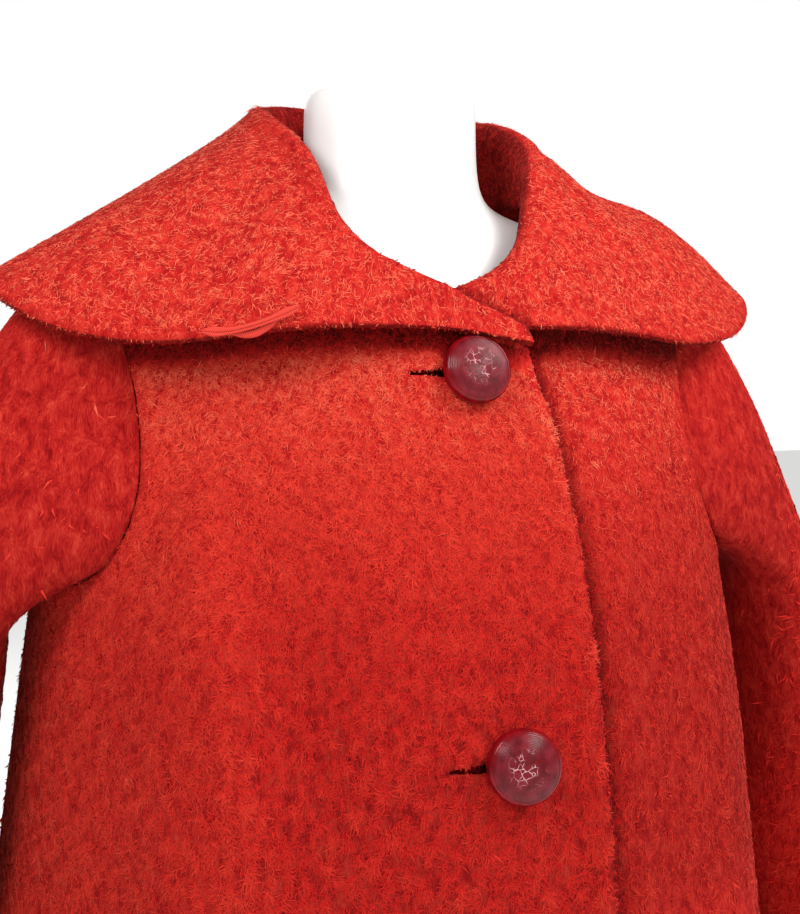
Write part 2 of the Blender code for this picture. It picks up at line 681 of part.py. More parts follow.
def cut_buttonhole(front, place):
    """A slit through the right front, open beside the shank and closing to a point."""
    wide, narrow = BUTTONHOLE_HALF_WIDTHS
    end = SHANK_RADIUS + 0.0012
    outline = [(end, wide * 0.6), (0.0, wide)]
    outline += [(-BUTTONHOLE_LENGTH * 0.5, wide * 0.75), (-BUTTONHOLE_LENGTH, narrow)]
    outline += [(x, -y) for x, y in reversed(outline)]
    bm = bmesh.new()
    bottom = bm.faces.new([bm.verts.new((x, y, -CUTTER_DEPTH)) for x, y in outline])
    grown = bmesh.ops.extrude_face_region(bm, geom=[bottom])["geom"]
    top = [v for v in grown if isinstance(v, bmesh.types.BMVert)]
    bmesh.ops.translate(bm, vec=(0, 0, 2 * CUTTER_DEPTH), verts=top)
    cutter = bpy.data.objects.new("buttonhole_cutter", mesh_from("buttonhole_cutter", bm))
    bpy.context.scene.collection.objects.link(cutter)
    cutter.matrix_world = place
    cutter.hide_render = True
    cutter.display_type = "WIRE"
    cut = front.modifiers.new("buttonhole", "BOOLEAN")
    cut.operation = "DIFFERENCE"
    cut.object = cutter


def make_form(finish, parent):
    """The smooth form that the coat hangs on: a neck, a body and a flat foot, with no limbs."""
    angle = np.linspace(0.0, 2 * math.pi, FORM_SIDES, endpoint=False)
    body, neck = FORM["height"][:9], FORM["height"][8:]
    halves = (body[:-1] + body[1:]) / 2
    between = np.stack([body[:-1], halves], -1).ravel()
    heights = np.concatenate([between, neck])
    rings = [ring_point(FORM, angle, np.full(FORM_SIDES, h))[0] for h in heights]
    return add_object("dress_form", solid_of_rings("dress_form", rings), finish, parent)


def main():
    for obj in list(bpy.data.objects):
        bpy.data.objects.remove(obj)
    coat = bpy.data.objects.new("short_coat", None)
    bpy.context.scene.collection.objects.link(coat)
    napped = material("napped_coating", RED, 0.9)
    _, right_front = make_fronts(napped, coat)
    make_back(napped, coat)
    make_sleeve("sleeve_left", 1, napped, coat)
    make_sleeve("sleeve_right", -1, napped, coat)
    make_collar(napped, coat)
    make_loop(material("braid", BRAID_RED, 0.8), coat)
    turned_plastic = material("turned_plastic", MAROON, 0.35)
    for number, (height, across, lean) in enumerate(zip(BUTTON_HEIGHTS, BUTTON_PLACES, BUTTON_LEANS), 1):
        place = button_place(height, across)
        make_button(f"button_{number}", place, math.radians(lean), turned_plastic, coat)
        cut_buttonhole(right_front, place)
    make_form(material("white_shell", WHITE, 0.4), coat)


main()
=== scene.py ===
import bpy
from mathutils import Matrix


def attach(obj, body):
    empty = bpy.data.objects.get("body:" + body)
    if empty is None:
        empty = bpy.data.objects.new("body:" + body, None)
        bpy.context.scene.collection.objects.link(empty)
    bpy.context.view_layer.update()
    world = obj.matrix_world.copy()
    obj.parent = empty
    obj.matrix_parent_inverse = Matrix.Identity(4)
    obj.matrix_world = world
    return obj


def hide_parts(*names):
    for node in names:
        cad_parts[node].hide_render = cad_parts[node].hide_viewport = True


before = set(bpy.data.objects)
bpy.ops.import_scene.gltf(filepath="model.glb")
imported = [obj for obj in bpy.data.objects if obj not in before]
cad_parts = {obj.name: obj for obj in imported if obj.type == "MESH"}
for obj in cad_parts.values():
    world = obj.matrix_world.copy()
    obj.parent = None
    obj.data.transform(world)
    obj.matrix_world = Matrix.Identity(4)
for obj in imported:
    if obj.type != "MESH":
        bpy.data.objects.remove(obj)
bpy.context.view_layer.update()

import math

import bmesh
import bpy
import numpy as np
from mathutils import Matrix, Vector
from mathutils.kdtree import KDTree

# The looks of a short swing coat in red brushed mohair coating, on a white dress form.
# Metres, +Z up. The coat faces -Y, and the wearer's left is +X.

MM = 0.001
BODY = "root"  # the coat has no joints

# The camera stands low in front of the coat's right side and looks a little down
CAMERA_TURN = math.radians(-20.0)
CAMERA_PITCH = math.radians(5.0)
CAMERA_BACK, CAMERA_HEIGHT = 0.746, 0.665
PICTURE_HEIGHT = 914  # pixels
FOCAL_PIXELS = 1200
SHIFT_PIXELS = 8
SENSOR = 36.0  # mm

CAMERA_PLACE = Vector(
    (math.sin(CAMERA_TURN) * CAMERA_BACK, -math.cos(CAMERA_TURN) * CAMERA_BACK, CAMERA_HEIGHT)
)


def linear(code):
    """An sRGB hex colour as the linear values that Blender reads."""
    values = [int(code[k : k + 2], 16) / 255 for k in (1, 3, 5)]
    return [v / 12.92 if v <= 0.04045 else ((v + 0.055) / 1.055) ** 2.4 for v in values] + [1.0]


def add_node(tree, kind, settings=(), inputs=(), links=(), stops=()):
    """Adds a node with its settings, input values, links to other nodes' outputs and a ramp's stops."""
    made = tree.nodes.new(kind)
    for name, value in dict(settings).items():
        setattr(made, name, value)
    for socket, value in dict(inputs).items():
        made.inputs[socket].default_value = value
    for socket, output in dict(links).items():
        tree.links.new(output, made.inputs[socket])
    for k, (place, code) in enumerate(stops):
        points = made.color_ramp.elements
        point = points[k] if k < len(points) else points.new(place)
        point.position = place
        point.color = linear(code)
    return made


def new_material(name, **values):
    """A material with a Principled shader, and the values that are the same all over it."""
    made = bpy.data.materials.new(name)
    made.use_nodes = True
    tree = made.node_tree
    tree.nodes.clear()
    shader = add_node(tree, "ShaderNodeBsdfPrincipled")
    for socket, value in values.items():
        shader.inputs[socket.replace("_", " ")].default_value = value
    add_node(tree, "ShaderNodeOutputMaterial", links={"Surface": shader.outputs["BSDF"]})
    return made, tree, shader


def mohair_ground():
    """Brushed mohair coating: the matted wool below the nap, streaky, with painted shade in its hollows."""
    made, tree, shader = new_material("mohair_ground", Roughness=0.95)
    shader.inputs["Specular IOR Level"].default_value = 0.08
    place = add_node(tree, "ShaderNodeTexCoord").outputs["Object"]
    wander = add_node(
        tree, "ShaderNodeTexNoise", inputs={"Scale": 1 / (16 * MM), "Detail": 1.0}, links={"Vector": place}
    )
    moved = add_node(
        tree,
        "ShaderNodeVectorMath",
        settings={"operation": "MULTIPLY_ADD"},
        inputs={1: (9 * MM, 9 * MM, 9 * MM)},
        links={0: wander.outputs["Color"], 2: place},
    )
    tuft_way = add_node(
        tree, "ShaderNodeMapping", inputs={"Scale": (1.0, 1.0, 0.5)}, links={"Vector": moved.outputs[0]}
    )
    tufts = add_node(
        tree,
        "ShaderNodeTexNoise",
        inputs={"Scale": 1 / (5.5 * MM), "Detail": 2.0, "Roughness": 0.6},
        links={"Vector": tuft_way.outputs["Vector"]},
    )
    strand_way = add_node(
        tree, "ShaderNodeMapping", inputs={"Scale": (1.0, 1.0, 0.14)}, links={"Vector": moved.outputs[0]}
    )
    strands = add_node(
        tree,
        "ShaderNodeTexNoise",
        inputs={"Scale": 1 / (0.8 * MM), "Detail": 2.0, "Roughness": 0.65},
        links={"Vector": strand_way.outputs["Vector"]},
    )
    height = add_node(
        tree,
        "ShaderNodeMix",
        inputs={"Factor": 0.5},
        links={"A": tufts.outputs["Fac"], "B": strands.outputs["Fac"]},
    )
    # Painted shade: the ramp darkens the hollows and lightens the tops of the same height that the bump
    # reads
    colour = add_node(
        tree,
        "ShaderNodeValToRGB",
        links={"Fac": height.outputs["Result"]},
        stops=((0.32, "#84090F"), (0.46, "#B41B1A"), (0.56, "#CA2C24"), (0.70, "#E04836")),
    )
    # The tone attribute multiplies in the painted light and shade that make_cloth sets
    tone = add_node(tree, "ShaderNodeAttribute", settings={"attribute_name": "tone"})
    toned = add_node(
        tree,
        "ShaderNodeMix",
        settings={"data_type": "RGBA", "blend_type": "MULTIPLY"},
        inputs={0: 1.0},
        links={6: colour.outputs["Color"], 7: tone.outputs["Color"]},
    )
    bump = add_node(
        tree,
        "ShaderNodeBump",
        inputs={"Strength": 0.8, "Distance": 1.5 * MM},
        links={"Height": height.outputs["Result"]},
    )
    tree.links.new(toned.outputs[2], shader.inputs["Base Color"])
    tree.links.new(bump.outputs["Normal"], shader.inputs["Normal"])
    return made


def mohair_nap():
    """Mohair hair: the loose, soft fibres of the nap, matt, with painted shade at the root and a paler tip.
    """
    made, tree, shader = new_material("mohair_nap", Roughness=0.9)
    shader.inputs["Specular IOR Level"].default_value = 0.06
    shader.inputs["Sheen Weight"].default_value = 0.14
    shader.inputs["Sheen Roughness"].default_value = 0.6
    shader.inputs["Sheen Tint"].default_value = linear("#FFA488")
    shade = add_node(tree, "ShaderNodeAttribute", settings={"attribute_name": "shade"})
    colour = add_node(
        tree,
        "ShaderNodeValToRGB",
        links={"Fac": shade.outputs["Fac"]},
        stops=((0.0, "#84060C"), (0.35, "#B81616"), (0.65, "#D23628"), (1.0, "#F67C5C")),
    )
    tree.links.new(colour.outputs["Color"], shader.inputs["Base Color"])
    return made


def braid():
    """Woven wool braid: a narrow ribbed tape, lighter than the coat, with a dry, faintly fuzzy face."""
    made, tree, shader = new_material("braid", Roughness=0.85)
    shader.inputs["Specular IOR Level"].default_value = 0.15
    shader.inputs["Sheen Weight"].default_value = 0.2
    shader.inputs["Sheen Tint"].default_value = linear("#FFA090")
    place = add_node(tree, "ShaderNodeTexCoord").outputs["Object"]
    turned = add_node(
        tree, "ShaderNodeMapping", inputs={"Rotation": (0.0, math.radians(25), 0.0)}, links={"Vector": place}
    )
    ribs = add_node(  # drawn at 0.8 mm, twice as coarse as the real ribs, so that they show
        tree,
        "ShaderNodeTexWave",
        inputs={"Scale": 0.314 / (0.8 * MM), "Distortion": 1.5, "Detail": 1.0},
        links={"Vector": turned.outputs["Vector"]},
    )
    # Painted shade: the ribs' grooves darker and their crests lighter, from the same waves as the bump
    colour = add_node(
        tree,
        "ShaderNodeValToRGB",
        links={"Fac": ribs.outputs["Fac"]},
        stops=((0.1, "#B82A22"), (0.9, "#DC4A3C")),
    )
    bump = add_node(
        tree,
        "ShaderNodeBump",
        inputs={"Strength": 0.5, "Distance": 0.2 * MM},
        links={"Height": ribs.outputs["Fac"]},
    )
    tree.links.new(colour.outputs["Color"], shader.inputs["Base Color"])
    tree.links.new(bump.outputs["Normal"], shader.inputs["Normal"])
    return made


CAP_RADIUS = 17.0 * MM  # of a button's bloomed cap, inside its clear edge
RING_SPACING = 0.75 * MM  # of the rings that turning left on the cap


def turned_resin():
    """Cast resin, turned and polished: a clear deep red edge round a bloomed, scuffed cap."""
    made, tree, shader = new_material("turned_resin", IOR=1.5)
    shader.inputs["Specular IOR Level"].default_value = 0.26
    place = add_node(tree, "ShaderNodeTexCoord").outputs["Object"]
    across = add_node(tree, "ShaderNodeAttribute", settings={"attribute_name": "across"}).outputs["Fac"]

    # How far out each finish goes: whole up to the first radius and gone at the second
    reach = {}
    for name, whole, gone in (
        ("worn", 9 * MM, 14 * MM),
        ("scuffed", 6 * MM, 11 * MM),
        ("cap", CAP_RADIUS - 1.6 * MM, CAP_RADIUS + 0.4 * MM),
        ("rings", CAP_RADIUS - 0.6 * MM, CAP_RADIUS),
    ):
        reach[name] = add_node(
            tree,
            "ShaderNodeMapRange",
            inputs={"From Min": whole, "From Max": gone, "To Min": 1.0, "To Max": 0.0},
            links={"Value": across},
        ).outputs["Result"]

    # Uneven colours, and masks in black and white: the size of their spots, and what they run between
    mottle = {}
    for name, size, detail, stops in (
        ("bloom", 6 * MM, 2.0, ((0.3, "#520A12"), (0.7, "#781D26"))),
        ("clear", 5 * MM, 2.0, ((0.3, "#5E020B"), (0.7, "#860812"))),
        ("pale", 2 * MM, 2.0, ((0.3, "#A8606A"), (0.7, "#F0C8C6"))),
        ("patches", 6 * MM, 1.0, ((0.44, "#000000"), (0.54, "#FFFFFF"))),
        ("specks", 1.6 * MM, 1.0, ((0.60, "#000000"), (0.66, "#FFFFFF"))),
    ):
        noise = add_node(
            tree, "ShaderNodeTexNoise", inputs={"Scale": 1 / size, "Detail": detail}, links={"Vector": place}
        )
        mottle[name] = add_node(
            tree, "ShaderNodeValToRGB", links={"Fac": noise.outputs["Fac"]}, stops=stops
        ).outputs["Color"]

    # Fine crinkles: the bent borders of small cells
    wrinkle = add_node(
        tree, "ShaderNodeTexNoise", inputs={"Scale": 1 / (4 * MM), "Detail": 1.0}, links={"Vector": place}
    )
    bent = add_node(
        tree,
        "ShaderNodeVectorMath",
        settings={"operation": "MULTIPLY_ADD"},
        inputs={1: (4 * MM, 4 * MM, 4 * MM)},
        links={0: wrinkle.outputs["Color"], 2: place},
    )
    cells = add_node(
        tree,
        "ShaderNodeTexVoronoi",
        settings={"feature": "DISTANCE_TO_EDGE"},
        inputs={"Scale": 1 / (3.6 * MM)},
        links={"Vector": bent.outputs[0]},
    )
    crinkle = add_node(
        tree,
        "ShaderNodeValToRGB",
        links={"Fac": cells.outputs["Distance"]},
        stops=((0.0, "#FFFFFF"), (0.06, "#000000")),
    )

    # The rings that turning left, fading out at the cap's edge
    turns = add_node(
        tree,
        "ShaderNodeMath",
        settings={"operation": "MULTIPLY"},
        inputs={1: 2 * math.pi / RING_SPACING},
        links={0: across},
    )
    rings = add_node(
        tree, "ShaderNodeMath", settings={"operation": "SINE"}, links={0: turns.outputs["Value"]}
    )

    # Where each finish shows
    shows = {}
    for name, mask, share in (
        ("worn", mottle["specks"], reach["worn"]),
        ("patches", mottle["patches"], reach["scuffed"]),
        ("rings", rings.outputs["Value"], reach["rings"]),
    ):
        shows[name] = add_node(
            tree, "ShaderNodeMath", settings={"operation": "MULTIPLY"}, links={0: mask, 1: share}
        ).outputs["Value"]
    scuffed = add_node(
        tree,
        "ShaderNodeMath",
        settings={"operation": "MULTIPLY"},
        links={0: crinkle.outputs["Color"], 1: shows["patches"]},
    ).outputs["Value"]

    # The bloomed cap is worn through in specks and scuffed pale, and the clear edge lies round it
    cap = mottle["bloom"]
    for share, upper in ((shows["worn"], mottle["clear"]), (scuffed, mottle["pale"])):
        cap = add_node(
            tree, "ShaderNodeMix", settings={"data_type": "RGBA"}, links={0: share, 6: cap, 7: upper}
        ).outputs[2]
    colour = add_node(
        tree,
        "ShaderNodeMix",
        settings={"data_type": "RGBA"},
        links={0: reach["cap"], 6: mottle["clear"], 7: cap},
    )
    gloss = add_node(
        tree,
        "ShaderNodeMapRange",
        inputs={"To Min": 0.20, "To Max": 0.28},
        links={"Value": reach["cap"]},
    )
    dents = add_node(
        tree, "ShaderNodeMath", settings={"operation": "ADD"}, links={0: shows["rings"], 1: scuffed}
    )
    bump = add_node(
        tree,
        "ShaderNodeBump",
        inputs={"Strength": 0.35, "Distance": 0.12 * MM},
        links={"Height": dents.outputs["Value"]},
    )
    tree.links.new(colour.outputs[2], shader.inputs["Base Color"])
    tree.links.new(gloss.outputs["Result"], shader.inputs["Roughness"])
    tree.links.new(bump.outputs["Normal"], shader.inputs["Normal"])
    return made


def white_shell():
    """Painted plastic: a dress form's smooth white satin skin, with a faint orange-peel."""
    made, tree, shader = new_material("white_shell", Roughness=0.38, IOR=1.5)
    place = add_node(tree, "ShaderNodeTexCoord").outputs["Object"]
    peel = add_node(
        tree, "ShaderNodeTexNoise", inputs={"Scale": 1 / (3.0 * MM), "Detail": 1.0}, links={"Vector": place}
    )
    tone = add_node(
        tree, "ShaderNodeTexNoise", inputs={"Scale": 1 / (120 * MM), "Detail": 2.0}, links={"Vector": place}
    )
    colour = add_node(
        tree,
        "ShaderNodeValToRGB",
        links={"Fac": tone.outputs["Fac"]},
        stops=((0.3, "#EAE8E5"), (0.7, "#EFEDEB")),
    )
    bump = add_node(
        tree,
        "ShaderNodeBump",
        inputs={"Strength": 0.03, "Distance": 0.2 * MM},
        links={"Height": peel.outputs["Fac"]},
    )
    tree.links.new(colour.outputs["Color"], shader.inputs["Base Color"])
    tree.links.new(bump.outputs["Normal"], shader.inputs["Normal"])
    return made


def add_piece(name, mesh, finish):
    """A piece of the object at the origin, which rides on the coat's body."""
    mesh.materials.clear()
    mesh.materials.append(finish)
    obj = bpy.data.objects.new(name, mesh)
    bpy.context.scene.collection.objects.link(obj)
    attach(obj, BODY)
    return obj


SAME_PLACE = 0.02 * MM  # points nearer than this are one


def merged(node):
    """A copy of a solid's mesh, with its doubled points merged."""
    bm = bmesh.new()
    bm.from_mesh(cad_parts[node].data)
    bmesh.ops.remove_doubles(bm, verts=bm.verts, dist=SAME_PLACE)
    return bm


def mesh_of(bm, name):
    mesh = bpy.data.meshes.new(name)
    bm.to_mesh(mesh)
    bm.free()
    mesh.shade_smooth()
    return mesh


CUT_EDGE = math.radians(50)  # a solid's edge that turns more than this is a cut edge
CUT_CREASE = 0.9  # how sharp a cut edge stays when its mesh is divided
RIM_STEP = 2 * MM


def squares_of(node):
    """A solid with its triangles joined to squares and its cut edges creased, and points on these."""
    bm = merged(node)
    bmesh.ops.join_triangles(
        bm, faces=bm.faces, angle_face_threshold=math.radians(35), angle_shape_threshold=math.radians(80)
    )
    crease = bm.edges.layers.float.new("crease_edge")
    rim = []
    for edge in bm.edges:
        if len(edge.link_faces) == 2 and edge.calc_face_angle() > CUT_EDGE:
            edge[crease] = CUT_CREASE
            a, b = (v.co for v in edge.verts)
            steps = max(2, round(edge.calc_length() / RIM_STEP))
            rim += [a.lerp(b, k / steps) for k in range(steps + 1)]
    return bm, rim


def divided(bm, name, levels):
    """The bmesh as a mesh, divided smoothly."""
    obj = bpy.data.objects.new(name + "_rough", mesh_of(bm, name))
    bpy.context.scene.collection.objects.link(obj)
    division = obj.modifiers.new("division", "SUBSURF")
    division.levels = levels
    division.render_levels = levels
    bpy.context.view_layer.update()
    fine = bpy.data.meshes.new_from_object(obj.evaluated_get(bpy.context.evaluated_depsgraph_get()))
    bpy.data.objects.remove(obj)
    fine.name = name
    fine.shade_smooth()
    return fine


def points_of(mesh):
    values = np.empty(len(mesh.vertices) * 3, np.float32)
    mesh.vertices.foreach_get("co", values)
    return values.reshape(-1, 3).astype(float)


def normals_of(mesh):
    values = np.empty(len(mesh.vertices) * 3, np.float32)
    mesh.vertex_normals.foreach_get("vector", values)
    return values.reshape(-1, 3).astype(float)


def put_points(mesh, points):
    mesh.vertices.foreach_set("co", points.astype(np.float32).ravel())
    mesh.update()


def unit(vectors):
    return vectors / np.maximum(np.linalg.norm(vectors, axis=-1, keepdims=True), 1e-9)


def eased(t):
    """0 before 0, 1 after 1, and smooth between."""
    t = np.clip(t, 0.0, 1.0)
    return t * t * (3 - 2 * t)


def rim_finder(rim):
    """A function for how far places lie from a cloth's cut edges."""
    tree = KDTree(len(rim))
    for k, place in enumerate(rim):
        tree.insert(place, k)
    tree.balance()
    return lambda points: np.array([tree.find(p)[2] for p in points])


class Waves:
    """A smooth, uneven field over space: many small waves of about one length, drawn out downwards."""

    def __init__(self, seed, length, drawn_out=1.0, count=24):
        rng = np.random.default_rng(seed)
        ways = unit(rng.normal(size=(count, 3)))
        self.ways = ways * (2 * math.pi / length) * rng.uniform(0.6, 1.5, (count, 1))
        self.ways[:, 2] /= drawn_out
        self.starts = rng.uniform(0, 2 * math.pi, count)
        self.share = math.sqrt(2 / count)

    def height(self, points):
        return self.share * np.sin(points @ self.ways.T + self.starts).sum(1)

    def slope(self, points):
        return self.share * np.cos(points @ self.ways.T + self.starts) @ self.ways


def torso_core(points):
    """Points inside the coat's body, below and behind the given ones."""
    return points * np.array([0.3, 0.3, 1.0]) - np.array([0.0, 0.0, 0.05])


ARM_AXIS = ((0.66, 0.200, 0.000), (0.52, 0.262, 0.000), (0.17, 0.324, -0.020))  # height, across, deep


def arm_core(points):
    """The nearest points of the sleeve's axis, by height."""
    height, across, deep = (np.array(column[::-1]) for column in zip(*ARM_AXIS))
    at = np.clip(points[:, 2], height[0], height[-1])
    x = np.interp(at, height, across) * np.sign(points[:, 0])
    return np.stack([x, np.interp(at, height, deep), at], -1)


def collar_core(points):
    """Points below the collar's fall."""
    return points * np.array([0.8, 0.8, 1.0]) - np.array([0.0, 0.0, 0.08])


def outer_share(points, normals, core):
    """1 on a wall's outer side and 0 on its inner side, where a core point lies inside the wall."""
    return (np.sum(unit(points - core(points)) * normals, -1) > 0.02).astype(float)


# Main creases, given one by one: where each starts and ends, its half width and its rise, or fall below 0
CREASES = {
    "collar": (
        ((0.096, -0.040, 0.768), (0.108, -0.073, 0.733), 7 * MM, -3.5 * MM),
        ((0.112, -0.040, 0.764), (0.128, -0.074, 0.724), 9 * MM, 2.5 * MM),
        ((-0.098, -0.050, 0.752), (-0.136, -0.078, 0.706), 12 * MM, -2.0 * MM),
        ((-0.070, 0.080, 0.790), (-0.120, 0.120, 0.700), 11 * MM, -3.0 * MM),
        ((0.030, 0.095, 0.800), (0.060, 0.140, 0.690), 14 * MM, 2.0 * MM),
    ),
    "front_right": (
        ((-0.030, -0.112, 0.640), (-0.080, -0.110, 0.612), 9 * MM, -1.6 * MM),
        ((-0.060, -0.135, 0.572), (-0.046, -0.170, 0.480), 16 * MM, 2.6 * MM),
        ((-0.140, -0.105, 0.585), (-0.131, -0.158, 0.400), 15 * MM, 5.0 * MM),
        ((-0.108, -0.130, 0.560), (-0.097, -0.172, 0.390), 20 * MM, -4.0 * MM),
        ((-0.020, -0.170, 0.462), (-0.075, -0.165, 0.430), 10 * MM, -1.8 * MM),
        ((-0.150, -0.090, 0.610), (-0.172, -0.080, 0.560), 11 * MM, -3.0 * MM),
        ((-0.180, -0.100, 0.420), (-0.196, -0.110, 0.230), 15 * MM, -3.5 * MM),
    ),
    "front_left": (
        ((0.150, -0.090, 0.605), (0.176, -0.078, 0.552), 12 * MM, -3.0 * MM),
        ((0.082, -0.128, 0.575), (0.074, -0.160, 0.470), 14 * MM, 2.2 * MM),
        ((0.185, -0.096, 0.400), (0.200, -0.104, 0.210), 16 * MM, -3.0 * MM),
    ),
    "back": (
        ((-0.150, 0.090, 0.600), (-0.185, 0.070, 0.545), 13 * MM, -3.0 * MM),
        ((0.140, 0.095, 0.610), (0.182, 0.072, 0.540), 11 * MM, -3.5 * MM),
        ((-0.060, 0.120, 0.600), (-0.075, 0.135, 0.470), 17 * MM, 3.5 * MM),
        ((0.050, 0.122, 0.580), (0.040, 0.140, 0.400), 20 * MM, -5.0 * MM),
        ((-0.105, 0.125, 0.470), (-0.122, 0.148, 0.190), 19 * MM, -5.5 * MM),
        ((0.118, 0.120, 0.440), (0.140, 0.140, 0.240), 15 * MM, -4.5 * MM),
    ),
    "sleeve_right": (
        ((-0.262, -0.070, 0.540), (-0.235, -0.060, 0.585), 9 * MM, -2.5 * MM),
        ((-0.300, -0.066, 0.400), (-0.268, -0.066, 0.380), 8 * MM, -2.5 * MM),
        ((-0.270, 0.062, 0.520), (-0.300, 0.058, 0.440), 12 * MM, -4.0 * MM),
        ((-0.312, 0.040, 0.345), (-0.290, 0.062, 0.318), 9 * MM, -3.5 * MM),
    ),
    "sleeve_left": (
        ((0.258, -0.070, 0.530), (0.232, -0.060, 0.580), 10 * MM, -3.0 * MM),
        ((0.305, -0.064, 0.372), (0.272, -0.064, 0.356), 8 * MM, -2.0 * MM),
        ((0.268, 0.064, 0.540), (0.302, 0.058, 0.430), 13 * MM, -3.5 * MM),
        ((0.318, 0.036, 0.372), (0.288, 0.062, 0.352), 10 * MM, -4.0 * MM),
    ),
}


def crease_rise(points, creases):
    """How far the creases move a cloth's points outwards."""
    rise = np.zeros(len(points))
    for start, end, half_width, most in creases:
        start, end = np.array(start), np.array(end)
        along = np.clip((points - start) @ (end - start) / np.sum((end - start) ** 2), 0.0, 1.0)
        away = np.linalg.norm(points - start - along[:, None] * (end - start), axis=1)
        fade = 0.25 + 0.75 * np.sin(math.pi * (0.12 + 0.76 * along))
        rise += most * fade * np.exp(-((away / half_width) ** 2))
    return rise


EDGE_HEIGHTS = (0.060, 0.465, 0.600, 0.640, 0.662)  # of the right front's edge
EDGE_PLACES = (0.053, 0.051, 0.049, 0.046, 0.040)  # how far past the middle it lies there
EDGE_FLARE = 4.5 * MM  # how far the edge stands off the left front
FLARE_WIDTH = 26 * MM
STEP_SINK = 3.0 * MM  # how far the left front sinks beside it
SINK_WIDTH = 28 * MM
FLARE_TOP = (0.625, 0.655)  # the flare fades out under the collar


def inside_edge(points):
    """How far a place lies inside the right front's edge, across the coat."""
    return np.interp(points[:, 2], EDGE_HEIGHTS, EDGE_PLACES) - points[:, 0]


def edge_flare(points):
    low, high = FLARE_TOP
    near = eased(1 - inside_edge(points) / FLARE_WIDTH)
    return EDGE_FLARE * near * eased((high - points[:, 2]) / (high - low))


def step_sink(points):
    low, high = FLARE_TOP
    near = eased(1 + inside_edge(points) / SINK_WIDTH)
    return -STEP_SINK * near * eased((high - points[:, 2]) / (high - low))


FINE_TUFTS = Waves(11, 5.0 * MM, drawn_out=1.2)  # that the nap draws together into, at the neck
BROAD_TUFTS = Waves(14, 6.2 * MM, drawn_out=1.8)  # and lower down
BROAD_FROM = (0.66, 0.20)  # the height where tufts begin to broaden, and over how far down
SWIRLS = Waves(12, 45.0 * MM, drawn_out=1.3)  # how the nap's lie wanders
LEAN = Waves(13, 13.0 * MM)
EDGE_NAP = 9 * MM  # along the right front's edge, where the nap lies out and a painted highlight lies on it
COLLAR_LIE = 0.8  # how far the collar's nap lies outwards, beside its lie down
EVEN_NAP = 0.35  # the roughness of the nap on the collar, where 1 is all in tufts
ROUGH_FROM = (0.72, 0.27)  # the height where it begins to grow rough, and over how far down
DEEP_SHADE, HEIGHT_LIGHT_MORE = 0.70, 0.72  # painted shade: the nap's lightness low down, and the painted light added above, where the lamps fall
HEIGHT_LIGHT_FROM = (0.48, 0.24)  # the height where the painted light begins, and over how far up


def broad_share(points):
    """How broad the tufts are, from 0 high up to 1 low down."""
    start, run = BROAD_FROM
    return eased((start - points[:, 2]) / run)


def tuft_height(points):
    broad = broad_share(points)
    return (1 - broad) * FINE_TUFTS.height(points) + broad * BROAD_TUFTS.height(points)


def tuft_slope(points):
    broad = broad_share(points)[:, None]
    return (1 - broad) * FINE_TUFTS.slope(points) + broad * BROAD_TUFTS.slope(points)


def fall_down(points, normals):
    """The nap lies down the cloth."""
    return np.tile([0.0, 0.0, -1.0], (len(points), 1))


def fall_to_edge(points, normals):
    """The nap lies down the cloth, and out over the right front's edge."""
    near = eased(1 - inside_edge(points) / EDGE_NAP)[:, None]
    return (1 - near) * np.array([0.0, 0.0, -1.0]) + near * np.array([0.9, 0.0, -0.5])


def fall_outwards(points, normals):
    """The nap lies down and outwards over the collar's top."""
    return np.array([0.0, 0.0, -1.0]) + COLLAR_LIE * unit(points * np.array([1.0, 1.0, 0.0]))


def roughness_of(points):
    """The nap is even on the collar and draws into tufts further down."""
    start, run = ROUGH_FROM
    return EVEN_NAP + (1 - EVEN_NAP) * eased((start - points[:, 2]) / run)


def painted_height_light(points):
    """Painted light and shade by height: the nap is lighter where the lamps fall on it from above, and
    deeper lower down.
    """
    start, run = HEIGHT_LIGHT_FROM
    return DEEP_SHADE + HEIGHT_LIGHT_MORE * eased((points[:, 2] - start) / run)


def even_tone(points, normals):
    return np.ones(len(points))


IN_FRONT = -0.05  # the collar's front lies before this depth
HANG_STEPS = 60  # places across the collar's front
HANG_STRIP = 11 * MM  # to each side of a place, where the lowest point is sought
HANG_EASE = 3  # places to each side that a height is evened out over


def collar_hang():
    """The heights of the collar's lower edge in front, and their places across."""
    bm = merged("collar")
    points = np.array([v.co for v in bm.verts if v.co.y < IN_FRONT])
    bm.free()
    places = np.linspace(points[:, 0].min(), points[:, 0].max(), HANG_STEPS)
    near = np.abs(points[:, 0] - places[:, None]) < HANG_STRIP
    lowest = np.where(near, points[:, 2], np.inf).min(1)
    evening = np.full(2 * HANG_EASE + 1, 1 / (2 * HANG_EASE + 1))
    return places, np.convolve(np.pad(lowest, HANG_EASE, mode="edge"), evening, mode="valid")


HANG_PLACES, HANG_HEIGHTS = collar_hang()
COLLAR_SHADOW_LINE = (14 * MM, 9 * MM)  # how far below the collar's edge the painted shadow begins, and over how far up
# how dark that painted shadow is
COLLAR_SHADOW_DARK = 0.8


def painted_collar_shadow(points):
    """The painted shadow: the fronts' nap darkened in a narrow line below the collar's edge."""
    start, width = COLLAR_SHADOW_LINE
    hang = np.interp(points[:, 0], HANG_PLACES, HANG_HEIGHTS)
    return 1 - COLLAR_SHADOW_DARK * eased((points[:, 2] - hang + start) / width)


EDGE_LIT, SIDE_LIT = 0.22, 0.17  # a painted highlight along the edge and painted light at the side: how much lighter the nap is
SIDE_FROM = (-0.108, 0.030)  # the place where the painted light at the side begins, and over how far out
SIDE_BELOW = (0.60, 0.06)  # the height where it begins, and over how far down


